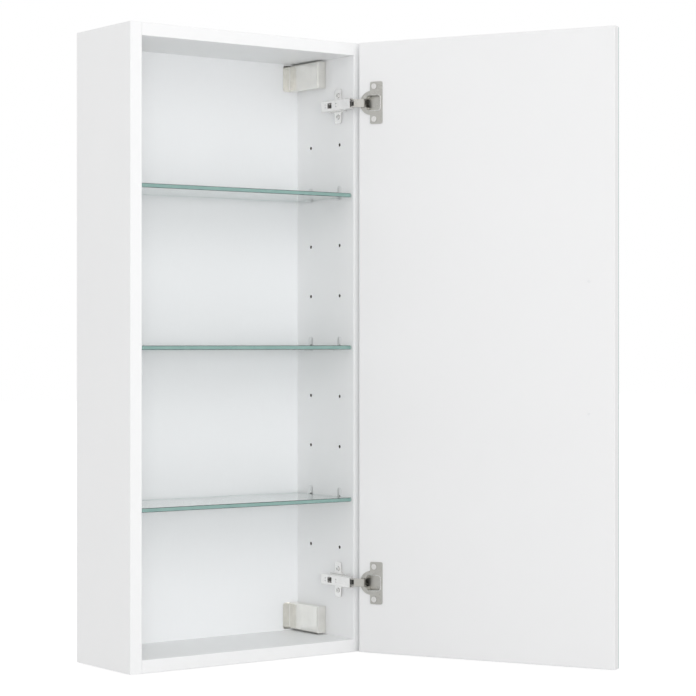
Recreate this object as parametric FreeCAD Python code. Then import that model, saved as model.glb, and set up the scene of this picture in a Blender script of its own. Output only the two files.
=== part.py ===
"""Wall-hung bathroom cabinet with a mirror door, glass shelves and concealed hinges.

Units are millimetres. X runs to the right, Y from the front towards the wall, Z up.
The origin is the centre of the face that lies on the wall, so the front plane is at Y = -DEPTH.
The door is designed closed and is then carried to its rest position, open on its hinges.
"""

import FreeCAD, Part
import math
import os

from FreeCAD import Vector

# ---- overall sizes ----
WIDTH = 400.0
HEIGHT = 900.0
DEPTH = 150.0

# ---- carcass boards ----
SIDE_T = 18.5
TOP_T = 18.5
BACK_T = 5.0
BACK_REBATE = 8.0          # how far the back panel reaches into each board
BACK_GAP = 0.2
EDGE_ROUND = 1.0
CLEAR = 1.0                # how far a cutting tool runs past the face it cuts
DRILL_TIP = 1.0            # how much deeper a hole is than its screw
DOWEL_R = 4.0
DOWEL_FIT = 0.05
DOWEL_INTO_SIDE = 12.0
DOWEL_INTO_TOP = 22.0
DOWEL_INSET = 32.0         # from the front and from the rear of the carcass

# ---- shelf holes, clips and shelves ----
PIN_HOLE_R = 2.5
PIN_HOLE_DEPTH = 9.0
PIN_FIT = 0.05
PIN_PITCH = 75.0
PIN_ROWS = 9
PIN_RISE = 2.0             # of the middle row over the middle of the cabinet
PIN_FRONT_SETBACK = 35.5
PIN_REAR_SETBACK = 109.5
SHELF_ROWS = {"lower": -3, "middle": 0, "upper": 3}
SHELF_T = 6.0
SHELF_FRONT_SETBACK = 2.5
SHELF_REAR_GAP = 3.0
SHELF_SIDE_GAP = 0.3       # between the glass edge and a clip's back plate
SHELF_CORNER_R = 4.0
SHELF_ARRIS = 0.6
CLIP_PLATE_T = 1.0
CLIP_WIDTH = 10.0
CLIP_RISE = 13.0
CLIP_LEDGE_LENGTH = 9.0
CLIP_LEDGE_T = 2.4
CLIP_REST_GAP = 0.1
CLIP_NUB_R = 0.9
CLIP_NUB_GAP = 0.4
CLIP_NUB_LENGTH = 6.0
CLIP_PEG_LENGTH = 8.0

# ---- door ----
DOOR_REVEAL = 1.0
DOOR_GAP = 2.0
BOARD_T = 14.5
ADHESIVE_T = 0.5
MIRROR_T = 3.0
MIRROR_INSET = 0.4
MIRROR_ARRIS = 0.6
ADHESIVE_INSET = 6.0
BUMPER_R = 5.0
BUMPER_RISE = 3.2
BUMPER_PEG_R = 2.0
BUMPER_PEG_DEPTH = 7.0
BUMPER_PEG_OVERLAP = 0.5   # of the peg into the dome
BUMPER_FROM_EDGE = 38.6
BUMPER_HALF_SPACING = 93.0

# ---- hinge cup, let into the door ----
HINGE_FROM_TOP = 90.5      # from the top of the carcass to the upper hinge's centre
HINGE_FROM_BOTTOM = 104.0
CUP_R = 17.5
CUP_FIT = 0.05
CUP_SETBACK = 20.0         # from the door's hinge edge to the cup's centre
CUP_DEPTH = 12.0
CUP_WALL = 1.0
CUP_CAVITY_HALF_HEIGHT = 11.0
CUP_CAVITY_START = 12.5    # where the wide cavity begins, from the door's hinge edge
CUP_CAVITY_CORNER_R = 4.0
CUP_SLOT_HALF_HEIGHT = 6.2
CUP_SLOT_START = 4.2
CUP_SLOT_LAP = 6.0         # of the slot into the cavity
FLANGE_T = 1.3
FLANGE_HALF_HEIGHT = 31.0
FLANGE_START = 18.7
FLANGE_END = 38.5
FLANGE_CORNER_R = 2.5
CUP_SCREW_SETBACK = 25.5
CUP_SCREW_SPACING = 48.0
CUP_SCREW_HEAD_R = 4.2
CUP_SCREW_HEAD_T = 2.0
CUP_SCREW_SHANK_R = 1.9
CUP_SCREW_DEPTH = 10.0
CUP_RIVET_LENGTH = 2.4     # into the cup, from the slot's wall

# ---- screw heads, as shares of the head's radius or height ----
HEAD_RIM = 0.5
RECESS_REACH = 0.55
RECESS_HALF_WIDTH = 0.12
RECESS_FLOOR = 0.45

# ---- hinge motion ----
OPEN_ANGLE = 117.0         # door turn from closed to rest
OUTER_SWING = 34.5         # turn of the outer link over the same travel, the other way
ARM_PIN_OFF_WALL = 10.5    # outer link's arm pin, from the side panel's inner face
ARM_PIN_FORWARD = 9.5      # and in front of the carcass
CUP_PIN_SETBACK = 8.2      # outer link's cup pin, from the door's hinge edge
CUP_PIN_DEPTH = 3.8        # and below the door's inner face
INNER_PIN_SETBACK = 6.2    # the same for the inner link
INNER_PIN_DEPTH = 2.3
INNER_LINK_LENGTH = 17.8   # between its two pins
LINK_PIN_R = 1.2
LINK_PIN_FIT = 0.05
LINK_EYE_R = 2.2
LINK_HALF_WIDTH = 1.5
INNER_HALF_WIDTH = 0.8
LINK_CHEEK_T = 1.4
LINK_WEB_T = 0.8
LINK_ELBOW_OUT = 5.5       # elbow's distance from the cup pin, out of the open door's face
INNER_ELBOW_OUT = 4.5
INNER_CUP_EYE_R = 1.7
INNER_LINK_HALF_HEIGHT = 3.2
LINK_STACK_GAP = 0.3
WEB_PIN_GAP = 0.8          # from the arm pin's eye to the web between the cheeks
WEB_TAIL = 1.2             # of the web past the elbow, towards the cup pin

# ---- hinge arm and mounting plate ----
ARM_RISE = 16.0            # from the side panel's inner face to the arm's outer face
ARM_T = 1.4
ARM_HALF_HEIGHT = 7.7
ARM_FRONT_RUN = 12.0       # in front of the carcass
ARM_REAR_SETBACK = 60.0
ARM_NOSE_CHAMFER = 1.5
ARM_NOSE_WALL = 0.4        # beyond the outer link's eye
ARM_EYE_RELIEF = 1.0       # of the nose in front of the inner link's arm pin
ARM_FRONT_GAP = 0.8        # from the nose's foot to the carcass front
ARM_FOOT_START = 6.0       # behind the carcass front, where the flanges reach the plate
ARM_EDGE_ROUND = 1.1
ARM_SLOT_SETBACK = 39.0
ARM_SLOT_LENGTH = 10.0
ARM_SLOT_HALF_HEIGHT = 4.2
ARM_DIMPLE_SETBACKS = (50.0, 23.0)
ARM_DIMPLE_HALF_SPACING = 2.0
ARM_DIMPLE_R = 0.8
ARM_PIN_HEAD = 0.4         # how far the arm's pins stand out of its flanges
DEPTH_SCREW_R = 2.2
DEPTH_SCREW_OFFSET = 2.2   # behind the middle of the arm's slot
DEPTH_SCREW_SINK = 0.3     # below the arm's outer face
DEPTH_SCREW_LENGTH = 9.0
DEPTH_SCREW_GROOVE_DEPTH = 0.8
DEPTH_SCREW_GROOVE_HALF_WIDTH = 0.4
PLATE_T = 2.0
PLATE_SETBACK = 37.0
PLATE_HALF_LENGTH = 20.0
PLATE_HALF_HEIGHT = 8.8
PLATE_WING_HALF_HEIGHT = 26.0
PLATE_WING_HALF_WIDTH = 8.0
PLATE_WING_CORNER_R = 4.0
PLATE_SHOULDER_R = 4.0     # between the wings and the plate's middle
PLATE_UNDERCUT = 0.9       # the wings' front edges stand this far off the panel
PLATE_UNDERCUT_WIDTH = 1.6
PLATE_POCKET_DEPTH = 4.0   # in the block, under the arm's slot
PLATE_BLOCK_HALF_LENGTH = 16.0
PLATE_BLOCK_GAP = 0.3
PLATE_SCREW_SPACING = 32.0
PLATE_SCREW_HEAD_R = 3.6
PLATE_SCREW_HEAD_T = 2.0
PLATE_SCREW_SHANK_R = 2.0
PLATE_SCREW_DEPTH = 12.0
SCREW_FIT = 0.05

# ---- wall hangers in the rear corners ----
COVER_OFF_WALL = 15.5
COVER_REACH = 74.0         # forward from the back panel
COVER_HEIGHT = 40.0
COVER_SHEET = 1.2
COVER_FLANGE = 12.0
COVER_GAP = 2.0            # to the board above or below
COVER_ROUND = 2.5
COVER_FLANGE_ROUND = 4.0
COVER_FOLD_R = 1.5         # where the flange folds out of the shell
COVER_FIT = 0.3
BRACKET_SHEET = 2.0
BRACKET_HEIGHT = 32.0
BRACKET_REACH = 60.0
BRACKET_TAB = 13.0
BRACKET_ROUND = 5.0
BRACKET_SCREW_R = 2.0
BRACKET_SCREW_HEAD_R = 3.6
BRACKET_SCREW_HEAD_T = 2.0
BRACKET_SCREW_DEPTH = 11.0
BRACKET_SCREW_SETBACKS = (24.0, 48.0)
WALL_HOLE_R = 3.0
WALL_HOLE_OFF_SIDE = 8.0

# ---- planes that several pieces share ----
SIDE_FACE = WIDTH / 2 - SIDE_T
FRONT = -DEPTH
BACK_FACE = -BACK_T
CEILING = HEIGHT / 2 - TOP_T
DOOR_INNER = FRONT - DOOR_GAP
DOOR_EDGE = WIDTH / 2 - DOOR_REVEAL
BOARD_OUTER = DOOR_INNER - BOARD_T
HINGE_LEVELS = {
    "upper": HEIGHT / 2 - HINGE_FROM_TOP,
    "lower": -HEIGHT / 2 + HINGE_FROM_BOTTOM,
}
SIDES = {"left": -1, "right": 1}


# ---- shape helpers ----
def block(x0, x1, y0, y1, z0, z1):
    """A box between the given limits, whichever way round they are."""
    low = Vector(min(x0, x1), min(y0, y1), min(z0, z1))
    high = Vector(max(x0, x1), max(y0, y1), max(z0, z1))
    size = high - low
    return Part.makeBox(size.x, size.y, size.z, low)


def rod(radius, start, direction, length):
    return Part.makeCylinder(radius, length, start, direction)


def along_x(radius, x0, x1, y, z):
    return rod(radius, Vector(min(x0, x1), y, z), Vector(1, 0, 0), abs(x1 - x0))


def along_y(radius, y0, y1, x, z):
    return rod(radius, Vector(x, min(y0, y1), z), Vector(0, 1, 0), abs(y1 - y0))


def along_z(radius, z0, z1, point):
    return rod(radius, Vector(point.x, point.y, min(z0, z1)), Vector(0, 0, 1), abs(z1 - z0))


def join(shapes):
    solid = shapes[0]
    for shape in shapes[1:]:
        solid = solid.fuse(shape)
    return solid.removeSplitter()


def prism(points, z0, z1):
    """Upright prism over a plan outline."""
    outline = [Vector(p.x, p.y, z0) for p in points]
    face = Part.Face(Part.makePolygon(outline + [outline[0]]))
    return face.extrude(Vector(0, 0, z1 - z0))


def round_edges(solid, radius, chosen):
    edges = [e for e in solid.Edges if chosen(e)]
    return solid.makeFillet(radius, edges) if edges else solid


def parallel_to(edge, axis):
    """Whether a straight edge runs along an axis."""
    if not isinstance(edge.Curve, (Part.Line, Part.LineSegment)):
        return False
    return abs(edge.tangentAt(edge.FirstParameter).dot(axis)) > 0.999


def at_y(edge, y):
    return all(abs(v.Point.y - y) < 1e-6 for v in edge.Vertexes)


def mirror_x(solid):
    return solid.mirror(Vector(0, 0, 0), Vector(1, 0, 0))


def bar(points, half_width, z0, z1):
    """A flat bent bar seen in plan: straight runs of one width with round ends and elbows."""
    pieces = [along_z(half_width, z0, z1, p) for p in points]
    for a, b in zip(points, points[1:]):
        side = Vector(a.y - b.y, b.x - a.x, 0).normalize() * half_width
        pieces.append(prism([a + side, b + side, b - side, a - side], z0, z1))
    return join(pieces)


# ---- hinge geometry in plan ----
def turned(point, centre, degrees):
    a = math.radians(degrees)
    d = point - centre
    x = d.x * math.cos(a) - d.y * math.sin(a)
    y = d.x * math.sin(a) + d.y * math.cos(a)
    return Vector(centre.x + x, centre.y + y, 0)


def bearing(a, b):
    return math.degrees(math.atan2(b.y - a.y, b.x - a.x))


ARM_PIN = Vector(SIDE_FACE - ARM_PIN_OFF_WALL, FRONT - ARM_PIN_FORWARD, 0)
CUP_PIN = Vector(DOOR_EDGE - CUP_PIN_SETBACK, DOOR_INNER - CUP_PIN_DEPTH, 0)
CUP_PIN_OPEN = turned(CUP_PIN, ARM_PIN, -OUTER_SWING)


def opened_point(point):
    """Where a plan point of the closed door lies when the door is at rest, open."""
    return turned(point, CUP_PIN, OPEN_ANGLE) + CUP_PIN_OPEN - CUP_PIN


def opened(solid):
    """Carries a solid of the closed door to the door's rest position."""
    placed = solid.copy()
    placed.rotate(CUP_PIN, Vector(0, 0, 1), OPEN_ANGLE)
    placed.translate(CUP_PIN_OPEN - CUP_PIN)
    return placed


def inner_arm_pin():
    """The inner link's arm pin: as far from its cup pin with the door open as with it closed."""
    middle = (INNER_CUP_PIN + INNER_CUP_PIN_OPEN) * 0.5
    chord = INNER_CUP_PIN_OPEN - INNER_CUP_PIN
    inboard = Vector(chord.y, -chord.x, 0).normalize()
    return middle + inboard * math.sqrt(INNER_LINK_LENGTH**2 - (chord.Length / 2)**2)


INNER_CUP_PIN = Vector(DOOR_EDGE - INNER_PIN_SETBACK, DOOR_INNER - INNER_PIN_DEPTH, 0)
INNER_CUP_PIN_OPEN = opened_point(INNER_CUP_PIN)
INNER_ARM_PIN = inner_arm_pin()
INNER_SWING = bearing(INNER_ARM_PIN, INNER_CUP_PIN) - bearing(INNER_ARM_PIN, INNER_CUP_PIN_OPEN)
DOOR_OUT = opened_point(Vector(0, 1, 0)) - opened_point(Vector(0, 0, 0))
CHEEK_OUTER = CUP_SLOT_HALF_HEIGHT - LINK_STACK_GAP
CHEEK_INNER = CHEEK_OUTER - LINK_CHEEK_T


# ---- carcass ----
def pin_levels():
    return [(row - (PIN_ROWS - 1) / 2) * PIN_PITCH + PIN_RISE for row in range(PIN_ROWS)]


def pin_columns():
    return [FRONT + PIN_FRONT_SETBACK, FRONT + PIN_REAR_SETBACK]


def dowel_places():
    """Plan and level of each dowel on the right: (y, z)."""
    level = HEIGHT / 2 - TOP_T / 2
    return [(y, z) for y in (FRONT + DOWEL_INSET, -DOWEL_INSET) for z in (level, -level)]


def right_dowels(extra=0.0):
    length_in = SIDE_FACE - DOWEL_INTO_TOP
    length_out = SIDE_FACE + DOWEL_INTO_SIDE
    radius = DOWEL_R + extra
    return [along_x(radius, length_in, length_out, y, z) for y, z in dowel_places()]


def side_panel(hinged):
    """The right-hand side panel; the left one is its mirror image without the hinge screw holes."""
    panel = block(SIDE_FACE, WIDTH / 2, FRONT, 0, -HEIGHT / 2, HEIGHT / 2)
    panel = round_edges(panel, EDGE_ROUND, lambda e: at_y(e, FRONT) and parallel_to(e, Vector(0, 0, 1)))
    reach = CEILING + BACK_REBATE
    cuts = [block(SIDE_FACE, SIDE_FACE + BACK_REBATE, BACK_FACE, 0, -reach, reach)]
    for y in pin_columns():
        for z in pin_levels():
            cuts.append(along_x(PIN_HOLE_R, SIDE_FACE, SIDE_FACE + PIN_HOLE_DEPTH, y, z))
    cuts += right_dowels(DOWEL_FIT)
    for level in hanger_levels():
        for setback in BRACKET_SCREW_SETBACKS:
            y = BACK_FACE - setback
            depth = SIDE_FACE + BRACKET_SCREW_DEPTH + DRILL_TIP
            cuts.append(along_x(BRACKET_SCREW_R + SCREW_FIT, SIDE_FACE, depth, y, level))
    if hinged:
        for level in HINGE_LEVELS.values():
            for z in plate_screw_levels(level):
                y = FRONT + PLATE_SETBACK
                depth = SIDE_FACE + PLATE_SCREW_DEPTH + DRILL_TIP
                cuts.append(along_x(PLATE_SCREW_SHANK_R + SCREW_FIT, SIDE_FACE, depth, y, z))
    return panel.cut(Part.makeCompound(cuts))


def top_panel():
    """The top panel; the bottom panel is its mirror image."""
    panel = block(-SIDE_FACE, SIDE_FACE, FRONT, 0, CEILING, HEIGHT / 2)
    panel = round_edges(panel, EDGE_ROUND, lambda e: at_y(e, FRONT) and parallel_to(e, Vector(1, 0, 0)))
    cuts = [block(-SIDE_FACE, SIDE_FACE, BACK_FACE, 0, CEILING, CEILING + BACK_REBATE)]
    for dowel in right_dowels(DOWEL_FIT):
        cuts += [dowel, mirror_x(dowel)]
    return panel.cut(Part.makeCompound(cuts))


def back_panel():
    half_width = SIDE_FACE + BACK_REBATE - BACK_GAP
    half_height = CEILING + BACK_REBATE - BACK_GAP
    panel = block(-half_width, half_width, BACK_FACE, 0, -half_height, half_height)
    holes = []
    for level in hanger_levels():
        for sign in SIDES.values():
            x = sign * (SIDE_FACE - WALL_HOLE_OFF_SIDE)
            holes.append(along_y(WALL_HOLE_R, BACK_FACE, 0, x, level))
    return panel.cut(Part.makeCompound(holes))


def carcass_dowels():
    solids = []
    for dowel in right_dowels():
        solids += [dowel, mirror_x(dowel)]
    return Part.makeCompound(solids)


# ---- shelves ----
def shelf_levels():
    return {name: row * PIN_PITCH for name, row in SHELF_ROWS.items()}


def right_clip(y, level):
    """A clear clip: a peg in the side panel, a ledge under the glass and a nub over it."""
    plate_face = SIDE_FACE - CLIP_PLATE_T
    half = CLIP_WIDTH / 2
    ledge_top = level - SHELF_T / 2 - CLIP_REST_GAP
    ledge_bottom = ledge_top - CLIP_LEDGE_T
    rise = level + SHELF_T / 2 + CLIP_RISE - half
    nub_z = level + SHELF_T / 2 + CLIP_NUB_GAP + CLIP_NUB_R
    pieces = [
        block(plate_face, SIDE_FACE, y - half, y + half, ledge_bottom, rise),
        along_x(half, plate_face, SIDE_FACE, y, rise),
        along_x(PIN_HOLE_R - PIN_FIT, plate_face, SIDE_FACE + CLIP_PEG_LENGTH, y, level + PIN_RISE),
        block(SIDE_FACE - CLIP_LEDGE_LENGTH, SIDE_FACE, y - half, y + half, ledge_bottom, ledge_top),
        along_y(CLIP_NUB_R, y - CLIP_NUB_LENGTH / 2, y + CLIP_NUB_LENGTH / 2, plate_face, nub_z),
    ]
    return join(pieces)


def shelf_clips(level):
    clips = []
    for y in pin_columns():
        clip = right_clip(y, level)
        clips += [clip, mirror_x(clip)]
    return Part.makeCompound(clips)


def glass_shelf(level):
    half_width = SIDE_FACE - CLIP_PLATE_T - SHELF_SIDE_GAP
    y0 = FRONT + SHELF_FRONT_SETBACK
    y1 = BACK_FACE - SHELF_REAR_GAP
    sheet = block(-half_width, half_width, y0, y1, level - SHELF_T / 2, level + SHELF_T / 2)
    sheet = round_edges(sheet, SHELF_CORNER_R, lambda e: parallel_to(e, Vector(0, 0, 1)))
    rims = [e for e in sheet.Edges if not parallel_to(e, Vector(0, 0, 1))]
    return sheet.makeChamfer(SHELF_ARRIS, rims)


# ---- hinge: door side, designed closed ----
def door_x(setback):
    """X of a point at a distance from the closed door's hinge edge."""
    return DOOR_EDGE - setback


def flange_outline(level, y0, y1):
    plate = block(door_x(FLANGE_START), door_x(FLANGE_END), y0, y1,
                  level - FLANGE_HALF_HEIGHT, level + FLANGE_HALF_HEIGHT)
    plate = round_edges(plate, FLANGE_CORNER_R, lambda e: parallel_to(e, Vector(0, 1, 0)))
    return join([plate, along_y(CUP_R, y0, y1, door_x(CUP_SETBACK), level)])


def cup_hollow(level):
    """The cavity that takes the arm's nose, and the slot for the links beside it."""
    floor = DOOR_INNER - CUP_DEPTH + CUP_WALL
    top = DOOR_INNER + FLANGE_T + CLEAR
    half = CUP_CAVITY_HALF_HEIGHT
    cavity = along_y(CUP_R - CUP_WALL, floor, top, door_x(CUP_SETBACK), level)
    band = block(door_x(CUP_CAVITY_START), door_x(2 * CUP_R + CUP_SETBACK), floor, top,
                 level - half, level + half)
    band = round_edges(band, CUP_CAVITY_CORNER_R, lambda e: parallel_to(e, Vector(0, 1, 0)))
    slot_half = CUP_SLOT_HALF_HEIGHT
    slot = block(door_x(CUP_SLOT_START), door_x(CUP_CAVITY_START + CUP_SLOT_LAP), floor, top,
                 level - slot_half, level + slot_half)
    return join([cavity.common(band), slot])


def cup_screw_levels(level):
    return [level - CUP_SCREW_SPACING / 2, level + CUP_SCREW_SPACING / 2]


def cup_pin_rods(level, extra=0.0):
    """The two short rivets on which the outer link's cheeks turn."""
    ends = (CHEEK_INNER, CUP_SLOT_HALF_HEIGHT + CUP_RIVET_LENGTH)
    rods = []
    for sign in (-1, 1):
        z0, z1 = level + sign * ends[0], level + sign * ends[1]
        rods.append(along_z(LINK_PIN_R + extra, z0, z1, CUP_PIN))
    return rods


def hinge_cup(level):
    x = door_x(CUP_SETBACK)
    bowl = along_y(CUP_R, DOOR_INNER - CUP_DEPTH, DOOR_INNER, x, level)
    body = join([bowl, flange_outline(level, DOOR_INNER, DOOR_INNER + FLANGE_T)])
    cuts = [cup_hollow(level)] + cup_pin_rods(level, LINK_PIN_FIT)
    for z in cup_screw_levels(level):
        radius = CUP_SCREW_SHANK_R + SCREW_FIT
        y1 = DOOR_INNER + FLANGE_T
        cuts.append(along_y(radius, DOOR_INNER - CLEAR, y1, door_x(CUP_SCREW_SETBACK), z))
    return body.cut(Part.makeCompound(cuts))


def screw(head_r, head_t, shank_r, shank_length, place, out):
    """A dome-headed screw with a cross recess; place is under its head, out is where it faces."""
    head = rod(head_r, place, out, head_t * HEAD_RIM)
    dome_r = (head_r**2 + head_t**2) / (2 * head_t)
    dome = Part.makeSphere(dome_r, place + out * (head_t - dome_r))
    cap = rod(head_r, place, out, head_t)
    shank = rod(shank_r, place - out * shank_length, out, shank_length)
    body = join([cap.common(dome), head, shank])
    side = Vector(0, 0, 1)
    other = out.cross(side)
    for a, b in ((side, other), (other, side)):
        long, short = head_r * RECESS_REACH, head_r * RECESS_HALF_WIDTH
        corner = place + out * (head_t * RECESS_FLOOR) - a * long - b * short
        points = [corner, corner + a * 2 * long, corner + a * 2 * long + b * 2 * short,
                  corner + b * 2 * short]
        face = Part.Face(Part.makePolygon(points + [points[0]]))
        body = body.cut(face.extrude(out * head_t))
    return body


def cup_screws(level):
    out = Vector(0, 1, 0)
    y = DOOR_INNER + FLANGE_T
    places = [Vector(door_x(CUP_SCREW_SETBACK), y, z) for z in cup_screw_levels(level)]
    return Part.makeCompound([
        screw(CUP_SCREW_HEAD_R, CUP_SCREW_HEAD_T, CUP_SCREW_SHANK_R, CUP_SCREW_DEPTH, p, out)
        for p in places
    ])


# ---- hinge: links, designed at rest ----
def elbow(cup_pin_open, out):
    """A link leaves its cup pin squarely out of the open door and turns for the arm there."""
    return cup_pin_open + DOOR_OUT * out


def web_plan(start, end, out):
    """Plan of one straight run of the outer link's web, along the cheeks' edge towards out."""
    near, far = out * (LINK_HALF_WIDTH - LINK_WEB_T), out * LINK_HALF_WIDTH
    return [start + near, end + near, end + far, start + far]


def outer_link(level):
    """Two bent cheeks joined by a folded web on the side away from the inner link."""
    points = [ARM_PIN, elbow(CUP_PIN_OPEN, LINK_ELBOW_OUT), CUP_PIN_OPEN]
    pieces = []
    for sign in (-1, 1):
        z0, z1 = sorted((level + sign * CHEEK_INNER, level + sign * CHEEK_OUTER))
        pieces.append(bar(points, LINK_HALF_WIDTH, z0, z1))
        pieces += [along_z(LINK_EYE_R, z0, z1, p) for p in (points[0], points[2])]
    first = (points[1] - points[0]).normalize()
    second = (points[2] - points[1]).normalize()
    first_out = Vector(first.y, -first.x, 0)
    second_out = Vector(second.y, -second.x, 0)
    runs = [
        web_plan(points[0] + first * (LINK_EYE_R + WEB_PIN_GAP), points[1], first_out),
        web_plan(points[1], points[1] + second * WEB_TAIL, second_out),
    ]
    z0, z1 = level - CHEEK_OUTER, level + CHEEK_OUTER
    pieces += [prism(plan, z0, z1) for plan in runs]
    fold = along_z(LINK_HALF_WIDTH, z0, z1, points[1])
    fold = fold.cut(along_z(LINK_HALF_WIDTH - LINK_WEB_T, z0, z1, points[1]))
    reach = [Vector(0, 0, 0), first_out, first_out + second_out, second_out]
    wedge = [points[1] + step * LINK_EYE_R for step in reach]
    pieces.append(fold.common(prism(wedge, z0, z1)))
    body = join(pieces)
    for p in (points[0], points[2]):
        body = body.cut(along_z(LINK_PIN_R + LINK_PIN_FIT, level - ARM_HALF_HEIGHT,
                                level + ARM_HALF_HEIGHT, p))
    return body


def inner_link(level):
    """A single bent bar between the outer link's cheeks."""
    points = [INNER_ARM_PIN, elbow(INNER_CUP_PIN_OPEN, INNER_ELBOW_OUT), INNER_CUP_PIN_OPEN]
    z0, z1 = level - INNER_LINK_HALF_HEIGHT, level + INNER_LINK_HALF_HEIGHT
    eyes = [along_z(LINK_EYE_R, z0, z1, points[0]), along_z(INNER_CUP_EYE_R, z0, z1, points[2])]
    body = join([bar(points, INNER_HALF_WIDTH, z0, z1)] + eyes)
    return body.cut(along_z(LINK_PIN_R + LINK_PIN_FIT, z0 - CLEAR, z1 + CLEAR, points[0]))


# ---- hinge: cabinet side ----
def plate_screw_levels(level):
    return [level - PLATE_SCREW_SPACING / 2, level + PLATE_SCREW_SPACING / 2]


def mounting_plate(level):
    """A cross-shaped plate with a raised block that carries the arm."""
    y = FRONT + PLATE_SETBACK
    face = SIDE_FACE - PLATE_T
    base = block(face, SIDE_FACE, y - PLATE_HALF_LENGTH, y + PLATE_HALF_LENGTH,
                 level - PLATE_HALF_HEIGHT, level + PLATE_HALF_HEIGHT)
    wing = block(face, SIDE_FACE, y - PLATE_WING_HALF_WIDTH, y + PLATE_WING_HALF_WIDTH,
                 level - PLATE_WING_HALF_HEIGHT, level + PLATE_WING_HALF_HEIGHT)
    wing = round_edges(wing, PLATE_WING_CORNER_R, lambda e: parallel_to(e, Vector(1, 0, 0)))
    cross = round_edges(join([base, wing]), PLATE_SHOULDER_R, lambda e: (
        parallel_to(e, Vector(1, 0, 0))
        and abs(abs(e.Vertexes[0].Point.y - y) - PLATE_WING_HALF_WIDTH) < 1e-6
        and abs(abs(e.Vertexes[0].Point.z - level) - PLATE_HALF_HEIGHT) < 1e-6))
    half = ARM_HALF_HEIGHT - ARM_T - PLATE_BLOCK_GAP
    lift = SIDE_FACE - ARM_RISE + ARM_T + PLATE_BLOCK_GAP
    core = block(lift, SIDE_FACE, y - PLATE_BLOCK_HALF_LENGTH, y + PLATE_BLOCK_HALF_LENGTH,
                 level - half, level + half)
    body = join([cross, core])
    slot_y = FRONT + ARM_SLOT_SETBACK
    cuts = [
        block(lift - CLEAR, lift + PLATE_POCKET_DEPTH, slot_y - ARM_SLOT_LENGTH / 2,
              slot_y + ARM_SLOT_LENGTH / 2, level - ARM_SLOT_HALF_HEIGHT, level + ARM_SLOT_HALF_HEIGHT),
        along_x(DEPTH_SCREW_R + SCREW_FIT, lift, SIDE_FACE - ARM_RISE + DEPTH_SCREW_SINK
                + DEPTH_SCREW_LENGTH, depth_screw_y(), level),
    ]
    front = y - PLATE_WING_HALF_WIDTH
    root, tip = PLATE_HALF_HEIGHT + PLATE_SHOULDER_R, PLATE_WING_HALF_HEIGHT + CLEAR
    for sign in (-1, 1):
        cuts.append(block(SIDE_FACE - PLATE_UNDERCUT, SIDE_FACE + CLEAR, front - CLEAR,
                          front + PLATE_UNDERCUT_WIDTH, level + sign * root, level + sign * tip))
    for z in plate_screw_levels(level):
        cuts.append(along_x(PLATE_SCREW_SHANK_R + SCREW_FIT, face - CLEAR, SIDE_FACE + CLEAR, y, z))
    return body.cut(Part.makeCompound(cuts))


def plate_screws(level):
    out = Vector(-1, 0, 0)
    x = SIDE_FACE - PLATE_T
    y = FRONT + PLATE_SETBACK
    return Part.makeCompound([
        screw(PLATE_SCREW_HEAD_R, PLATE_SCREW_HEAD_T, PLATE_SCREW_SHANK_R,
              PLATE_SCREW_DEPTH + PLATE_T, Vector(x, y, z), out)
        for z in plate_screw_levels(level)
    ])


def depth_screw_y():
    return FRONT + ARM_SLOT_SETBACK + DEPTH_SCREW_OFFSET


def arm_flange_outline():
    """Plan of the arm's two flanges: low over the plate, with a nose round the link pins."""
    web = SIDE_FACE - ARM_RISE
    foot = SIDE_FACE - PLATE_T - PLATE_BLOCK_GAP
    nose = FRONT - ARM_FRONT_RUN
    rear = FRONT + ARM_REAR_SETBACK
    return [
        Vector(web, rear, 0),
        Vector(web, nose + ARM_NOSE_CHAMFER, 0),
        Vector(web + ARM_NOSE_CHAMFER, nose, 0),
        Vector(ARM_PIN.x + LINK_EYE_R - ARM_NOSE_CHAMFER, nose, 0),
        Vector(ARM_PIN.x + LINK_EYE_R + ARM_NOSE_WALL, ARM_PIN.y, 0),
        Vector(INNER_ARM_PIN.x + LINK_EYE_R, INNER_ARM_PIN.y - ARM_EYE_RELIEF, 0),
        Vector(INNER_ARM_PIN.x + LINK_EYE_R, FRONT - ARM_FRONT_GAP, 0),
        Vector(foot, FRONT + ARM_FOOT_START, 0),
        Vector(foot, rear, 0),
    ]


def hinge_arm(level):
    """A channel over the mounting plate, open towards the side panel."""
    web = SIDE_FACE - ARM_RISE
    outline = arm_flange_outline()
    half = ARM_HALF_HEIGHT
    pieces = [prism(outline, level - half, level - half + ARM_T),
              prism(outline, level + half - ARM_T, level + half)]
    front = FRONT - ARM_FRONT_RUN + ARM_NOSE_CHAMFER
    pieces.append(block(web, web + ARM_T, front, FRONT + ARM_REAR_SETBACK, level - half, level + half))
    body = join(pieces)
    body = round_edges(body, ARM_EDGE_ROUND, lambda e: parallel_to(e, Vector(0, 1, 0))
                       and all(abs(v.Point.x - web) < 1e-6 for v in e.Vertexes)
                       and abs(abs(e.Vertexes[0].Point.z - level) - half) < 1e-6)
    slot_y = FRONT + ARM_SLOT_SETBACK
    half_slot = ARM_SLOT_LENGTH / 2
    inside = web + ARM_T + PLATE_BLOCK_GAP
    cuts = [block(web - CLEAR, inside, slot_y - half_slot, slot_y + half_slot,
                  level - ARM_SLOT_HALF_HEIGHT, level + ARM_SLOT_HALF_HEIGHT)]
    for setback in ARM_DIMPLE_SETBACKS:
        for sign in (-1, 1):
            z = level + sign * ARM_DIMPLE_HALF_SPACING
            cuts.append(along_x(ARM_DIMPLE_R, web - CLEAR, inside, FRONT + setback, z))
    cuts += arm_pin_rods(level, LINK_PIN_FIT)
    return body.cut(Part.makeCompound(cuts))


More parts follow.
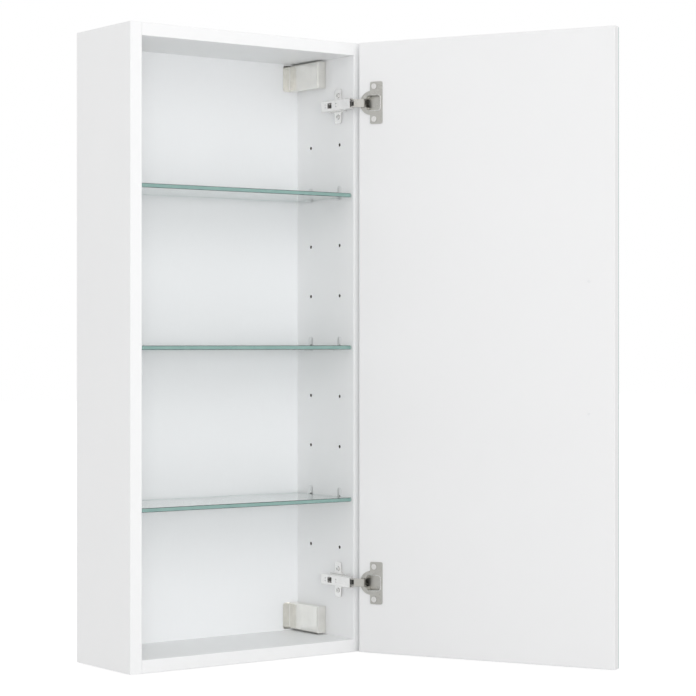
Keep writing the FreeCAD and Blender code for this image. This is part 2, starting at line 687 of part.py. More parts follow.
def arm_pin_rods(level, extra=0.0):
    """Two short rivets for the outer link and one through pin for the inner link."""
    half = ARM_HALF_HEIGHT + ARM_PIN_HEAD
    rods = []
    for sign in (-1, 1):
        rods.append(along_z(LINK_PIN_R + extra, level + sign * CHEEK_INNER, level + sign * half, ARM_PIN))
    rods.append(along_z(LINK_PIN_R + extra, level - half, level + half, INNER_ARM_PIN))
    return rods


def depth_screw(level):
    """The slotted screw in the arm's slot that locks the door's depth."""
    head = SIDE_FACE - ARM_RISE + DEPTH_SCREW_SINK
    y = depth_screw_y()
    body = along_x(DEPTH_SCREW_R, head, head + DEPTH_SCREW_LENGTH, y, level)
    half = DEPTH_SCREW_GROOVE_HALF_WIDTH
    return body.cut(block(head, head + DEPTH_SCREW_GROOVE_DEPTH, y - DEPTH_SCREW_R, y + DEPTH_SCREW_R,
                          level - half, level + half))


# ---- wall hangers ----
def hanger_levels():
    level = CEILING - COVER_GAP - COVER_HEIGHT / 2
    return [level, -level]


def hanger_bracket(level):
    """An angle bracket: one leg on the side panel, one on the back panel."""
    half = BRACKET_HEIGHT / 2
    leg = block(SIDE_FACE - BRACKET_SHEET, SIDE_FACE, BACK_FACE - BRACKET_REACH, BACK_FACE,
                level - half, level + half)
    tab = block(SIDE_FACE - BRACKET_TAB, SIDE_FACE, BACK_FACE - BRACKET_SHEET, BACK_FACE,
                level - half, level + half)
    body = join([leg, tab])
    body = round_edges(body, BRACKET_ROUND, lambda e: parallel_to(e, Vector(1, 0, 0))
                       and at_y(e, BACK_FACE - BRACKET_REACH))
    cuts = [along_y(WALL_HOLE_R, BACK_FACE - BRACKET_SHEET - CLEAR, BACK_FACE + CLEAR,
                    SIDE_FACE - WALL_HOLE_OFF_SIDE, level)]
    for setback in BRACKET_SCREW_SETBACKS:
        cuts.append(along_x(BRACKET_SCREW_R + SCREW_FIT, SIDE_FACE - BRACKET_SHEET - CLEAR,
                            SIDE_FACE + CLEAR, BACK_FACE - setback, level))
    return body.cut(Part.makeCompound(cuts))


def hanger_screws(level):
    out = Vector(-1, 0, 0)
    x = SIDE_FACE - BRACKET_SHEET
    return Part.makeCompound([
        screw(BRACKET_SCREW_HEAD_R, BRACKET_SCREW_HEAD_T, BRACKET_SCREW_R,
              BRACKET_SCREW_DEPTH + BRACKET_SHEET, Vector(x, BACK_FACE - setback, level), out)
        for setback in BRACKET_SCREW_SETBACKS
    ])


def hanger_cover(level):
    """A shell over the bracket, with a flange against the back panel; open to both panels."""
    half = COVER_HEIGHT / 2
    sheet = COVER_SHEET
    x0 = SIDE_FACE - COVER_OFF_WALL
    x1 = SIDE_FACE - COVER_FIT
    y0 = BACK_FACE - COVER_REACH
    y1 = BACK_FACE - COVER_FIT
    shell = block(x0, x1, y0, y1, level - half, level + half)
    shell = round_edges(shell, COVER_ROUND, lambda e: (
        all(v.Point.x < x0 + sheet for v in e.Vertexes)
        and (at_y(e, y0) or parallel_to(e, Vector(0, 1, 0)))))
    hollow = block(x0 + sheet, x1 + CLEAR, y0 + sheet, y1 + CLEAR,
                   level - half + sheet, level + half - sheet)
    flange = block(x0 - COVER_FLANGE, x0 + sheet, y1 - sheet, y1, level - half, level + half)
    flange = round_edges(flange, COVER_FLANGE_ROUND, lambda e: parallel_to(e, Vector(0, 1, 0))
                         and e.Vertexes[0].Point.x < x0)
    fold_r = COVER_FOLD_R
    straight = half - COVER_ROUND
    corner = Vector(x0 - fold_r, y1 - sheet - fold_r, 0)
    fold = block(x0 - fold_r, x0, y1 - sheet - fold_r, y1 - sheet, level - straight, level + straight)
    fold = fold.cut(along_z(fold_r, level - half, level + half, corner))
    return join([shell.cut(hollow), flange, fold])


# ---- door ----
def door_rectangle(inset, y0, y1):
    half_width = DOOR_EDGE - inset
    half_height = HEIGHT / 2 - DOOR_REVEAL - inset
    return block(-half_width, half_width, y0, y1, -half_height, half_height)


def bumper_places():
    x = -DOOR_EDGE + BUMPER_FROM_EDGE
    return [(x, BUMPER_HALF_SPACING), (x, -BUMPER_HALF_SPACING)]


def door_panel():
    board = door_rectangle(0, BOARD_OUTER, DOOR_INNER)
    board = round_edges(board, EDGE_ROUND, lambda e: at_y(e, DOOR_INNER))
    cuts = []
    for level in HINGE_LEVELS.values():
        cuts.append(along_y(CUP_R + CUP_FIT, DOOR_INNER - CUP_DEPTH, DOOR_INNER + CLEAR,
                            door_x(CUP_SETBACK), level))
        for z in cup_screw_levels(level):
            y0 = DOOR_INNER - CUP_SCREW_DEPTH - DRILL_TIP
            radius = CUP_SCREW_SHANK_R + SCREW_FIT
            cuts.append(along_y(radius, y0, DOOR_INNER + CLEAR, door_x(CUP_SCREW_SETBACK), z))
    for x, z in bumper_places():
        y0 = DOOR_INNER - BUMPER_PEG_DEPTH - DRILL_TIP
        cuts.append(along_y(BUMPER_PEG_R + PIN_FIT, y0, DOOR_INNER + CLEAR, x, z))
    return board.cut(Part.makeCompound(cuts))


def door_bumper(x, z):
    dome_r = (BUMPER_R**2 + BUMPER_RISE**2) / (2 * BUMPER_RISE)
    dome = Part.makeSphere(dome_r, Vector(x, DOOR_INNER + BUMPER_RISE - dome_r, z))
    cap = along_y(BUMPER_R, DOOR_INNER, DOOR_INNER + BUMPER_RISE, x, z).common(dome)
    peg = along_y(BUMPER_PEG_R, DOOR_INNER - BUMPER_PEG_DEPTH, DOOR_INNER + BUMPER_PEG_OVERLAP, x, z)
    return join([cap, peg])


def mirror_glass():
    y1 = BOARD_OUTER - ADHESIVE_T
    sheet = door_rectangle(MIRROR_INSET, y1 - MIRROR_T, y1)
    return round_edges(sheet, MIRROR_ARRIS, lambda e: at_y(e, y1 - MIRROR_T))


def mirror_adhesive():
    return door_rectangle(ADHESIVE_INSET, BOARD_OUTER - ADHESIVE_T, BOARD_OUTER)


# ---- all the pieces by name ----
def carcass_nodes():
    side = side_panel(False)
    top = top_panel()
    return {
        "side_panel_left": mirror_x(side),
        "side_panel_right": side_panel(True),
        "top_panel": top,
        "bottom_panel": top.mirror(Vector(0, 0, 0), Vector(0, 0, 1)),
        "back_panel": back_panel(),
        "carcass_dowels": carcass_dowels(),
    }


def shelf_nodes():
    nodes = {}
    for name, level in shelf_levels().items():
        nodes["glass_shelf_" + name] = glass_shelf(level)
        nodes["shelf_clips_" + name] = shelf_clips(level)
    return nodes


def door_nodes():
    nodes = {
        "door_panel": door_panel(),
        "mirror_glass": mirror_glass(),
        "mirror_adhesive": mirror_adhesive(),
    }
    for name, place in zip(("upper", "lower"), bumper_places()):
        nodes["door_bumper_" + name] = door_bumper(*place)
    for name, level in HINGE_LEVELS.items():
        nodes["hinge_cup_" + name] = hinge_cup(level)
        nodes["cup_screws_" + name] = cup_screws(level)
        nodes["cup_rivets_" + name] = Part.makeCompound(cup_pin_rods(level))
    return {name: opened(shape) for name, shape in nodes.items()}


def hinge_nodes():
    nodes = {}
    for name, level in HINGE_LEVELS.items():
        nodes["outer_link_" + name] = outer_link(level)
        nodes["inner_link_" + name] = inner_link(level)
        nodes["hinge_arm_" + name] = hinge_arm(level)
        nodes["arm_pins_" + name] = Part.makeCompound(arm_pin_rods(level))
        nodes["depth_screw_" + name] = depth_screw(level)
        nodes["mounting_plate_" + name] = mounting_plate(level)
        nodes["plate_screws_" + name] = plate_screws(level)
    return nodes


def hanger_nodes():
    nodes = {}
    for height_name, level in zip(("top", "bottom"), hanger_levels()):
        for side_name, sign in SIDES.items():
            name = height_name + "_" + side_name
            shapes = {
                "hanger_bracket_": hanger_bracket(level),
                "hanger_screws_": hanger_screws(level),
                "hanger_cover_": hanger_cover(level),
            }
            for prefix, shape in shapes.items():
                nodes[prefix + name] = shape if sign > 0 else mirror_x(shape)
    return nodes


def main():
    os.makedirs("parts", exist_ok=True)
    nodes = {}
    for group in (carcass_nodes(), shelf_nodes(), door_nodes(), hinge_nodes(), hanger_nodes()):
        nodes.update(group)
    for name, shape in nodes.items():
        shape.exportStep("parts/" + name + ".step")
    closing = OPEN_ANGLE + OUTER_SWING
    print("nodes", len(nodes))
    print("door turns on the outer links by", closing)
    print("outer link: arm pin", ARM_PIN, "cup pin", CUP_PIN_OPEN, "ratio", OUTER_SWING / closing)
    print("inner link: arm pin", INNER_ARM_PIN, "ratio", INNER_SWING / closing)


main()
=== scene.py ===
"""Looks for the wall-hung mirror cabinet: materials, small fittings, studio, camera."""

import math

import bmesh
import bpy
from mathutils import Euler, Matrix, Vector


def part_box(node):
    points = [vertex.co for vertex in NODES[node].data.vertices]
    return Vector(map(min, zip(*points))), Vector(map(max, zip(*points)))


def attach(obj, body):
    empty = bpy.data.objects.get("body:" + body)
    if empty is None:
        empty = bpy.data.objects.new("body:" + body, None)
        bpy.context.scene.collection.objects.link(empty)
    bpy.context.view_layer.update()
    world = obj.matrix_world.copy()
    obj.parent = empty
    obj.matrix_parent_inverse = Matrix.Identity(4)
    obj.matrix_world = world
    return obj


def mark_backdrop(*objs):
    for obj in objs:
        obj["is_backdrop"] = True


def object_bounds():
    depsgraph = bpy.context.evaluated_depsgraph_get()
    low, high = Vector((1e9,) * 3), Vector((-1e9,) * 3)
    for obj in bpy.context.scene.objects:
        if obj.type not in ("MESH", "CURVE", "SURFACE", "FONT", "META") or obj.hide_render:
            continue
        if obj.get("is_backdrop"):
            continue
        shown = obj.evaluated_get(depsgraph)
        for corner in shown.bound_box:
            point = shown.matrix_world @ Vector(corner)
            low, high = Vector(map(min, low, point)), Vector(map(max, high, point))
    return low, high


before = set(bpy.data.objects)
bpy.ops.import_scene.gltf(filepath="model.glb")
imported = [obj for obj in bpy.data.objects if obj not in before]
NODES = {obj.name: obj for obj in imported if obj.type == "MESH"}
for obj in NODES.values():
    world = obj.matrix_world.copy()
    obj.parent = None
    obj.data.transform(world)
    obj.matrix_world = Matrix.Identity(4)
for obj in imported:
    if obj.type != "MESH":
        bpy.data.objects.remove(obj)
CAD_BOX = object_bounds()

# ---- places taken from the frame, and the door's turn ----
MM = 0.001
CLIP_AND_GAP = 1.3 * MM        # between a shelf's end and the side panel
SIDE_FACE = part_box("glass_shelf_middle")[1].x + CLIP_AND_GAP
CARCASS_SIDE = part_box("side_panel_right")[1].x
CARCASS_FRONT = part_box("side_panel_right")[0].y
CARCASS_TOP = CAD_BOX[1][2]

OPEN_ANGLE = math.radians(117)
DOOR_OUT = Vector((-math.sin(OPEN_ANGLE), math.cos(OPEN_ANGLE), 0))
DOOR_ALONG = Vector((-math.cos(OPEN_ANGLE), -math.sin(OPEN_ANGLE), 0))


# ---- node material helpers ----
class Paint:
    """A node material built around one Principled shader."""

    def __init__(self, name, **fixed):
        self.mat = bpy.data.materials.new(name)
        self.mat.use_nodes = True
        self.tree = self.mat.node_tree
        self.shader = self.tree.nodes["Principled BSDF"]
        self.out = self.tree.nodes["Material Output"]
        self.coord = self.node("ShaderNodeTexCoord")
        for key, value in fixed.items():
            self.shader.inputs[key.replace("_", " ")].default_value = value

    def node(self, kind, **settings):
        made = self.tree.nodes.new(kind)
        for key, value in settings.items():
            setattr(made, key, value)
        return made

    def link(self, a, b):
        self.tree.links.new(a, b)

    def noise(self, scale, detail=2.0, stretch=None, roughness=0.5):
        """Noise over the object's own coordinates, in features per metre."""
        tex = self.node("ShaderNodeTexNoise")
        tex.inputs["Scale"].default_value = scale
        tex.inputs["Detail"].default_value = detail
        tex.inputs["Roughness"].default_value = roughness
        source = self.coord.outputs["Object"]
        if stretch:
            mapping = self.node("ShaderNodeMapping")
            mapping.inputs["Scale"].default_value = stretch
            self.link(source, mapping.inputs["Vector"])
            source = mapping.outputs["Vector"]
        self.link(source, tex.inputs["Vector"])
        return tex.outputs["Fac"]

    def ramp(self, value, low, high, start=0.3, end=0.7):
        """Maps a value between start and end to low and high, numbers or colours."""
        if isinstance(low, (int, float)):
            made = self.node("ShaderNodeMapRange")
            self.link(value, made.inputs["Value"])
            limits = (("From Min", start), ("From Max", end), ("To Min", low), ("To Max", high))
            for key, number in limits:
                made.inputs[key].default_value = number
            return made.outputs["Result"]
        made = self.node("ShaderNodeValToRGB")
        self.link(value, made.inputs["Fac"])
        made.color_ramp.elements[0].position = start
        made.color_ramp.elements[0].color = (*low, 1)
        made.color_ramp.elements[1].position = end
        made.color_ramp.elements[1].color = (*high, 1)
        return made.outputs["Color"]

    def mix(self, factor, a, b, blend="MIX"):
        made = self.node("ShaderNodeMix", data_type="RGBA", blend_type=blend)
        for socket, value in ((made.inputs[0], factor), (made.inputs[6], a), (made.inputs[7], b)):
            if isinstance(value, bpy.types.NodeSocket):
                self.link(value, socket)
            else:
                socket.default_value = value if isinstance(value, (int, float)) else (*value, 1)
        return made.outputs[2]

    def maths(self, operation, a, b=0.0):
        made = self.node("ShaderNodeMath", operation=operation)
        for socket, value in ((made.inputs[0], a), (made.inputs[1], b)):
            if isinstance(value, bpy.types.NodeSocket):
                self.link(value, socket)
            else:
                socket.default_value = value
        return made.outputs[0]

    def axis(self, name, output="Object"):
        made = self.node("ShaderNodeSeparateXYZ")
        self.link(self.coord.outputs[output], made.inputs[0])
        return made.outputs[name]

    def bump(self, height, strength, distance):
        made = self.node("ShaderNodeBump")
        made.inputs["Strength"].default_value = strength
        made.inputs["Distance"].default_value = distance
        self.link(height, made.inputs["Height"])
        self.link(made.outputs["Normal"], self.shader.inputs["Normal"])

    def colour(self, socket):
        self.link(socket, self.shader.inputs["Base Color"])

    def rough(self, socket):
        self.link(socket, self.shader.inputs["Roughness"])


# ---- materials ----
FACE_MARGIN = 0.4 * MM         # into the side panel from its inner face
SIDE_MARGIN = 1.0 * MM         # these keep the hole mask off the panels' outer faces
FRONT_MARGIN = 2.0 * MM
REAR_MARGIN = 6.0 * MM
TOP_MARGIN = 20.0 * MM
BAND_SEAM = 0.8 * MM           # from the front to where the edge band ends
BAND_SEAM_HALF_WIDTH = 0.12 * MM
RECESS_SHADE_REACH = 1.6 * MM        # how near a facing surface must be for painted shade on plated steel
MIRROR_FACE_COSINE = 0.98      # above this a mirror face is the silvered one


def inside_a_hole(p):
    """1 on the walls of the holes drilled into the side panels, 0 on every outer face."""
    across = p.maths("ABSOLUTE", p.axis("X"))
    up = p.maths("ABSOLUTE", p.axis("Z"))
    within = p.maths("GREATER_THAN", across, SIDE_FACE + FACE_MARGIN)
    for value, limit, operation in (
        (across, CARCASS_SIDE - SIDE_MARGIN, "LESS_THAN"),
        (p.axis("Y"), CARCASS_FRONT + FRONT_MARGIN, "GREATER_THAN"),
        (p.axis("Y"), -REAR_MARGIN, "LESS_THAN"),
        (up, CARCASS_TOP - TOP_MARGIN, "LESS_THAN"),
    ):
        within = p.maths("MULTIPLY", within, p.maths(operation, value, limit))
    return within


def speckled(p, cloudy, scale):
    """A cloudy colour with faint fine specks."""
    speck = p.ramp(p.noise(scale, 2.0), 0.985, 1.0, 0.35, 0.5)
    return p.mix(1.0, cloudy, p.mix(speck, (0.97, 0.97, 0.96), (1, 1, 1)), "MULTIPLY")


def lacquer(name, light, dark):
    """Smooth white board: faint mottling, orange peel, a hairline where the edge band ends, and
    painted shade on the walls of its drilled holes.
    """
    p = Paint(name, Specular_IOR_Level=0.45)
    cloudy = p.ramp(p.noise(4.0, 3.0), dark, light, 0.35, 0.62)
    body = speckled(p, cloudy, 900.0)
    band = p.maths("COMPARE", p.axis("Y"), CARCASS_FRONT + BAND_SEAM)
    band.node.inputs[2].default_value = BAND_SEAM_HALF_WIDTH
    edged = p.mix(p.maths("MULTIPLY", band, 0.35), body, (0.55, 0.55, 0.54))
    # raw board grain on the walls of the drilled holes, made near black as painted shade inside them
    raw_board_and_hole_shade = p.ramp(p.noise(1400.0, 3.0), (0.05, 0.045, 0.04), (0.16, 0.14, 0.12), 0.4, 0.6)
    p.colour(p.mix(inside_a_hole(p), edged, raw_board_and_hole_shade))
    p.rough(p.ramp(p.noise(35.0, 4.0), 0.34, 0.46))
    p.bump(p.noise(420.0, 2.0), 0.12, 0.00025)
    return p.mat


def door_lacquer():
    """The door board's satin lacquer, with the same faint orange peel."""
    p = Paint("door_lacquer", Specular_IOR_Level=0.5)
    cloudy = p.ramp(p.noise(3.0, 2.0), (0.864, 0.864, 0.868), (0.880, 0.880, 0.884), 0.15, 0.85)
    p.colour(speckled(p, cloudy, 1100.0))
    p.rough(p.ramp(p.noise(25.0, 2.0), 0.30, 0.34, 0.2, 0.8))
    p.bump(p.noise(380.0, 2.0), 0.10, 0.0002)
    return p.mat


def back_board():
    """Painted hardboard: a cooler white with a fine fibre texture."""
    p = Paint("back_board", Specular_IOR_Level=0.35)
    fibre = p.noise(260.0, 5.0, stretch=(1.0, 1.0, 0.18))
    p.colour(p.mix(p.ramp(fibre, 0.0, 1.0), (0.945, 0.955, 0.966), (0.953, 0.963, 0.974)))
    p.rough(p.ramp(fibre, 0.5, 0.62))
    p.bump(fibre, 0.15, 0.0002)
    return p.mat


def nickel(name, tone, roughness, brushed=(1.0, 1.0, 1.0)):
    """Plated steel: slight tone changes, fine drawing lines, uneven gloss, and painted shade in its
    recesses.
    """
    p = Paint(name, Metallic=1.0)
    lines = p.noise(1500.0, 3.0, stretch=brushed)
    patch = p.noise(60.0, 3.0)
    dark = tuple(c * 0.93 for c in tone)
    # painted shade: ambient occlusion darkens the steel's colour in its recesses and next to facing
    # surfaces
    nook = p.node("ShaderNodeAmbientOcclusion", samples=6)
    nook.inputs["Distance"].default_value = RECESS_SHADE_REACH
    painted_recess_shade = p.ramp(nook.outputs["AO"], 0.32, 1.0, 0.25, 0.85)
    plain = p.mix(p.ramp(patch, 0.0, 1.0), dark, tone)
    p.colour(p.mix(painted_recess_shade, tuple(c * 0.2 for c in tone), plain))
    gloss = p.ramp(patch, roughness * 0.8, roughness * 1.15)
    p.rough(p.maths("ADD", gloss, p.ramp(lines, -0.02, 0.03)))
    p.bump(lines, 0.12, 0.00004)
    return p.mat


def glass():
    """Float glass: slightly tinted clear faces, green edges, and tinted light in its shadow."""
    p = Paint("shelf_glass", IOR=1.5)
    upright = p.maths("ABSOLUTE", p.axis("Z", "Normal"))
    edge = p.maths("LESS_THAN", upright, 0.5)
    tone = p.ramp(p.noise(40.0, 3.0), 0.0, 1.0)
    p.colour(p.mix(edge, p.mix(tone, (0.90, 0.965, 0.955), (0.92, 0.975, 0.965)),
                   p.mix(tone, (0.30, 0.48, 0.445), (0.35, 0.54, 0.50))))
    p.link(p.ramp(edge, 1.0, 0.30, 0.0, 1.0), p.shader.inputs["Transmission Weight"])
    haze = p.ramp(p.noise(90.0, 4.0), 0.0, 0.012, 0.45, 0.75)
    p.rough(p.maths("ADD", haze, p.maths("MULTIPLY", edge, 0.25)))
    p.bump(p.noise(9.0, 2.0), 0.02, 0.0004)
    grazing = p.node("ShaderNodeFresnel")
    grazing.inputs["IOR"].default_value = 1.5
    clear = p.node("ShaderNodeBsdfTransparent")
    p.link(p.mix(grazing.outputs[0], (0.875, 0.95, 0.955), (0, 0, 0)), clear.inputs["Color"])
    path = p.node("ShaderNodeLightPath")
    both = p.node("ShaderNodeMixShader")
    p.link(path.outputs["Is Shadow Ray"], both.inputs[0])
    p.link(p.shader.outputs[0], both.inputs[1])
    p.link(clear.outputs[0], both.inputs[2])
    p.link(both.outputs[0], p.out.inputs["Surface"])
    return p.mat


def clear_plastic():
    """Clear moulding: hardly seen face on, easier to see at its rims, and it casts no shadow."""
    p = Paint("clear_plastic", IOR=1.45)
    rim = p.node("ShaderNodeLayerWeight")
    rim.inputs["Blend"].default_value = 0.2
    path = p.node("ShaderNodeLightPath")
    seen = p.maths("SUBTRACT", 1.0, path.outputs["Is Shadow Ray"])
    body = p.ramp(rim.outputs["Facing"], 0.02, 0.40, 0.0, 1.0)
    p.link(p.maths("MULTIPLY", seen, body), p.shader.inputs["Alpha"])
    p.colour(p.mix(p.ramp(p.noise(180.0, 2.0), 0.0, 1.0), (0.90, 0.94, 0.945), (0.96, 0.98, 0.98)))
    p.rough(p.ramp(p.noise(300.0, 3.0), 0.12, 0.28))
    p.bump(p.noise(500.0, 2.0), 0.1, 0.0001)
    return p.mat


def mirror():
    """Silvered on its face; its ground edges show the glass."""
    p = Paint("mirror_silver")
    facing = p.node("ShaderNodeVectorMath", operation="DOT_PRODUCT")
    p.link(p.coord.outputs["Normal"], facing.inputs[0])
    facing.inputs[1].default_value = -DOOR_OUT
    face = p.maths("GREATER_THAN", facing.outputs["Value"], MIRROR_FACE_COSINE)
    haze = p.ramp(p.noise(14.0, 4.0), 0.0, 1.0)
    p.colour(p.mix(face, (0.42, 0.60, 0.56), p.mix(haze, (0.90, 0.925, 0.925), (0.92, 0.94, 0.94))))
    p.link(face, p.shader.inputs["Metallic"])
    smear = p.ramp(p.noise(25.0, 5.0), 0.004, 0.03, 0.5, 0.8)
    edge = p.maths("MULTIPLY", p.maths("SUBTRACT", 1.0, face), 0.22)
    p.rough(p.maths("ADD", smear, edge))
    p.bump(p.noise(700.0, 2.0), 0.01, 0.00005)
    return p.mat


def soft_plastic(name, tone, roughness, glow):
    """Plastic or glue with a slight mottle; glow is how much light scatters inside it."""
    p = Paint(name, Subsurface_Weight=glow, Specular_IOR_Level=0.5)
    dark = tuple(c * 0.94 for c in tone)
    p.colour(p.mix(p.ramp(p.noise(200.0, 3.0), 0.0, 1.0), dark, tone))
    p.rough(p.ramp(p.noise(350.0, 3.0), roughness * 0.85, roughness * 1.15))
    p.bump(p.noise(1200.0, 2.0), 0.15, 0.00006)
    p.shader.inputs["Subsurface Radius"].default_value = (0.002, 0.0018, 0.0016)
    return p.mat


def beech():
    """Plain wood with its grain along the dowels."""
    p = Paint("beech")
    grain = p.noise(700.0, 4.0, stretch=(0.08, 1.0, 1.0))
    p.colour(p.ramp(grain, (0.50, 0.33, 0.19), (0.70, 0.52, 0.33)))
    p.rough(p.ramp(grain, 0.5, 0.7))
    p.bump(grain, 0.3, 0.0002)
    return p.mat


def painted_floor():
    """Pale floor that the camera sees lit almost to white, as on an overlit studio sweep."""
    p = Paint("studio_floor", Specular_IOR_Level=0.1)
    p.colour(p.mix(p.ramp(p.noise(2.0, 4.0), 0.0, 1.0), (0.80, 0.80, 0.80), (0.81, 0.81, 0.81)))
    p.rough(p.ramp(p.noise(30.0, 3.0), 0.75, 0.9))
    glow = p.node("ShaderNodeEmission")
    glow.inputs["Strength"].default_value = 1.18
    path = p.node("ShaderNodeLightPath")
    both = p.node("ShaderNodeMixShader")
    p.link(p.maths("MULTIPLY", path.outputs["Is Camera Ray"], 0.80), both.inputs[0])
    p.link(p.shader.outputs[0], both.inputs[1])
    p.link(glow.outputs[0], both.inputs[2])
    p.link(both.outputs[0], p.out.inputs["Surface"])
    return p.mat


WHITE = lacquer("white_lacquer", (0.930, 0.932, 0.934), (0.916, 0.919, 0.922))
DOOR_WHITE = door_lacquer()
BACK = back_board()
NICKEL = nickel("satin_nickel", (0.63, 0.62, 0.585), 0.30)
POLISHED = nickel("polished_nickel", (0.93, 0.92, 0.88), 0.17, brushed=(1.0, 0.06, 1.0))
STEEL = nickel("bright_steel", (0.93, 0.92, 0.905), 0.24)
DARK_STEEL = nickel("dark_steel", (0.22, 0.22, 0.21), 0.4)
GLASS = glass()
CLIP = clear_plastic()
MIRROR = mirror()
ADHESIVE = soft_plastic("adhesive", (0.55, 0.55, 0.53), 0.6, 0.0)
BUMPER = soft_plastic("bumper", (0.86, 0.865, 0.87), 0.35, 0.15)
DOWEL = beech()

FINISHES = (
    ("carcass_dowels", DOWEL), ("side_panel", WHITE), ("top_panel", WHITE), ("bottom_panel", WHITE),
    ("back_panel", BACK), ("glass_shelf", GLASS), ("shelf_clips", CLIP), ("door_panel", DOOR_WHITE),
    ("mirror_glass", MIRROR), ("mirror_adhesive", ADHESIVE), ("door_bumper", BUMPER),
    ("hinge_cup", NICKEL), ("cup_screws", STEEL), ("cup_rivets", STEEL), ("outer_link", NICKEL),
    ("inner_link", DARK_STEEL), ("hinge_arm", STEEL), ("arm_pins", STEEL), ("depth_screw", DARK_STEEL),
    ("mounting_plate", STEEL), ("plate_screws", STEEL), ("hanger_bracket", NICKEL),
    ("hanger_screws", STEEL), ("hanger_cover", POLISHED),
)


def dress(obj, mat):
    obj.data.materials.clear()
    obj.data.materials.append(mat)


for name, obj in NODES.items():
    dress(obj, next(mat for start, mat in FINISHES if name.startswith(start)))


def smooth_object(name, bm, mat):
    """Turns a bmesh into a smooth-shaded object in the scene."""
    mesh = bpy.data.meshes.new(name)
    bm.to_mesh(mesh)
    bm.free()
    for face in mesh.polygons:
        face.use_smooth = True
    obj = bpy.data.objects.new(name, mesh)
    bpy.context.scene.collection.objects.link(obj)
    obj.data.materials.append(mat)
    return obj


# ---- small fittings ----
RIM_START = 10.8 * MM          # along the door, from the cup's hinge-side edge
RIM_END = 33.4 * MM            # the same
RIM_HALF_HEIGHT = 11.4 * MM
RIM_CORNER = 4.2 * MM
RIM_CORNER_STEPS = 8
RIM_BEAD = 0.55 * MM           # radius at the top of the cup
RIM_BEAD_SWELL = 0.35 * MM     # what it gains towards the bottom
RIM_END_TAPER = 0.4
RIM_SEGMENTS = 8


def sweep(name, path, radii, body, mat):
    """An open bead along a path: rings of the given radii, square to the path."""
    bm = bmesh.new()
    rings = []
    for i, (point, radius) in enumerate(zip(path, radii)):
        run = (path[min(i + 1, len(path) - 1)] - path[max(i - 1, 0)]).normalized()
        side = DOOR_OUT.cross(run).normalized()
        rings.append([
            bm.verts.new(point + (side * math.cos(a) + DOOR_OUT * math.sin(a)) * radius)
            for a in (2 * math.pi * k / RIM_SEGMENTS for k in range(RIM_SEGMENTS))
        ])
    for a, b in zip(rings, rings[1:]):
        for k in range(RIM_SEGMENTS):
            after = (k + 1) % RIM_SEGMENTS
            bm.faces.new((a[k], a[after], b[after], b[k]))
    bmesh.ops.recalc_face_normals(bm, faces=bm.faces)
    obj = smooth_object(name, bm, mat)
    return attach(obj, body)


def cup_frame(level_name):
    """A hinge cup's outermost face, its edge nearest the hinge side and its middle height."""
    points = [v.co for v in NODES["hinge_cup_" + level_name].data.vertices]
    top = max(p.dot(DOOR_OUT) for p in points)
    edge = min(p.dot(DOOR_ALONG) for p in points)
    level = (max(p.z for p in points) + min(p.z for p in points)) / 2
    return DOOR_OUT * top + DOOR_ALONG * edge + Vector((0, 0, level))


def cup_rim(level_name):
    """The rolled lip round the hinge cup's cavity, open where the links enter."""
    origin = cup_frame(level_name)
    path = [(RIM_START, -RIM_HALF_HEIGHT)]
    centre = RIM_END - RIM_CORNER
    rise = RIM_HALF_HEIGHT - RIM_CORNER
    for cz, start in ((-rise, -90), (rise, 0)):
        for k in range(RIM_CORNER_STEPS + 1):
            a = math.radians(start + 90 * k / RIM_CORNER_STEPS)
            path.append((centre + RIM_CORNER * math.cos(a), cz + RIM_CORNER * math.sin(a)))
    path.append((RIM_START, RIM_HALF_HEIGHT))
    points = [origin + DOOR_ALONG * u + Vector((0, 0, z)) for u, z in path]
    radii = [RIM_BEAD + RIM_BEAD_SWELL * (0.5 - 0.5 * z / RIM_HALF_HEIGHT) for u, z in path]
    radii[0] *= RIM_END_TAPER
    radii[-1] *= RIM_END_TAPER
    rim = sweep("cup_rim_" + level_name, points, radii, "door", STEEL)
    return rim


for level_name in ("upper", "lower"):
    cup_rim(level_name)


# ---- studio ----
FLOOR_GAP = 2.0 * MM           # the floor lies this far below the cabinet
FLOOR_HALF_SIZE = 14.0
FLOOR_CELLS = 24
FLOOR_FALL = 0.0002            # drop per square metre from the middle
WORLD_LIGHT = 0.80
AIM = (0.0, -0.1, 0.0)         # what both lamps point at


def studio_floor(level):
    """A wide floor that falls slightly towards its far edges."""
    bm = bmesh.new()
    bmesh.ops.create_grid(bm, x_segments=FLOOR_CELLS, y_segments=FLOOR_CELLS, size=FLOOR_HALF_SIZE)
    for vert in bm.verts:
        vert.co.z = level - FLOOR_FALL * vert.co.xy.length_squared
    floor = smooth_object("studio_floor", bm, painted_floor())
    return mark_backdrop(floor)


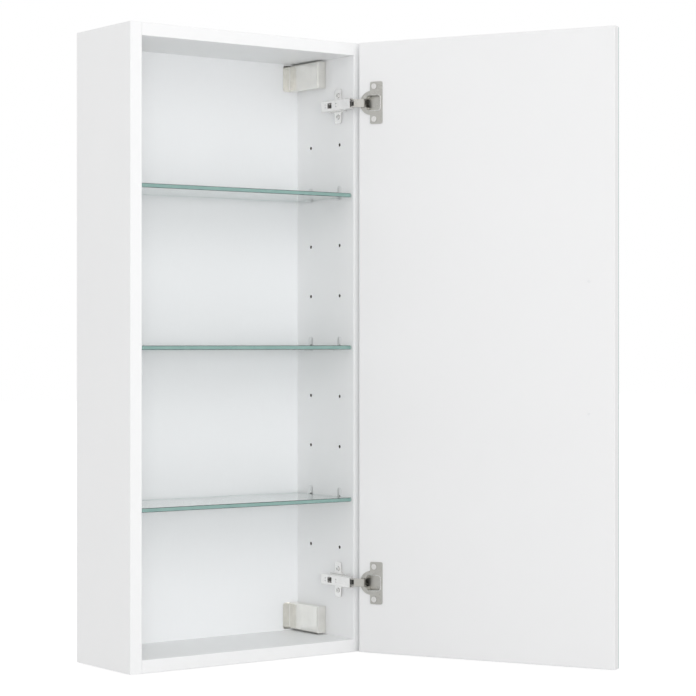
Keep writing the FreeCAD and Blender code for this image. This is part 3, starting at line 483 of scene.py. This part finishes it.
def softbox(name, place, target, size, power):
    """A rectangular area lamp of so many watts, pointed at a target."""
    data = bpy.data.lights.new(name, "AREA")
    data.shape = "RECTANGLE"
    data.size, data.size_y = size
    data.energy = power
    lamp = bpy.data.objects.new(name, data)
    lamp.location = place
    lamp.rotation_euler = (Vector(target) - Vector(place)).to_track_quat("-Z", "Y").to_euler()
    bpy.context.scene.collection.objects.link(lamp)
    return lamp


def studio_world(strength):
    """Even white light from all round, and a white backdrop where the camera sees past the floor."""
    world = bpy.data.worlds.new("studio")
    bpy.context.scene.world = world
    world.use_nodes = True
    tree = world.node_tree
    light = tree.nodes["Background"]
    light.inputs["Color"].default_value = (1, 1, 1, 1)
    light.inputs["Strength"].default_value = strength
    white = tree.nodes.new("ShaderNodeBackground")
    white.inputs["Color"].default_value = (1, 1, 1, 1)
    white.inputs["Strength"].default_value = 1.0
    path = tree.nodes.new("ShaderNodeLightPath")
    both = tree.nodes.new("ShaderNodeMixShader")
    tree.links.new(path.outputs["Is Camera Ray"], both.inputs[0])
    tree.links.new(light.outputs[0], both.inputs[1])
    tree.links.new(white.outputs[0], both.inputs[2])
    tree.links.new(both.outputs[0], tree.nodes["World Output"].inputs["Surface"])


studio_floor(CAD_BOX[0][2] - FLOOR_GAP)
studio_world(WORLD_LIGHT)
softbox("key", (-2.0, -5.0, 2.8), AIM, (3.2, 2.6), 34)
fill = softbox("fill", (-2.0, -4.1, 0.1), AIM, (2.0, 1.0), 40)
fill.visible_glossy = False    # so that the metal doesn't mirror it


# ---- camera ----
CAMERA_PLACE = (-1.7345, -2.7475, 0.0078)
CAMERA_TURN = math.radians(-36.264)
CAMERA_LENS = 112.92           # millimetres, on a sensor 36 mm wide
CAMERA_SHIFT = -0.0084


def camera():
    """A level camera to the left of the cabinet, at about its middle height."""
    data = bpy.data.cameras.new("camera")
    data.sensor_width = 36.0
    data.lens = CAMERA_LENS
    data.shift_y = CAMERA_SHIFT
    data.clip_start = 0.05
    data.clip_end = 60.0
    made = bpy.data.objects.new("camera", data)
    made.location = CAMERA_PLACE
    made.rotation_euler = Euler((math.radians(90), 0, CAMERA_TURN))
    bpy.context.scene.collection.objects.link(made)
    bpy.context.scene.camera = made


camera()
bpy.context.scene.view_settings.view_transform = "Standard"
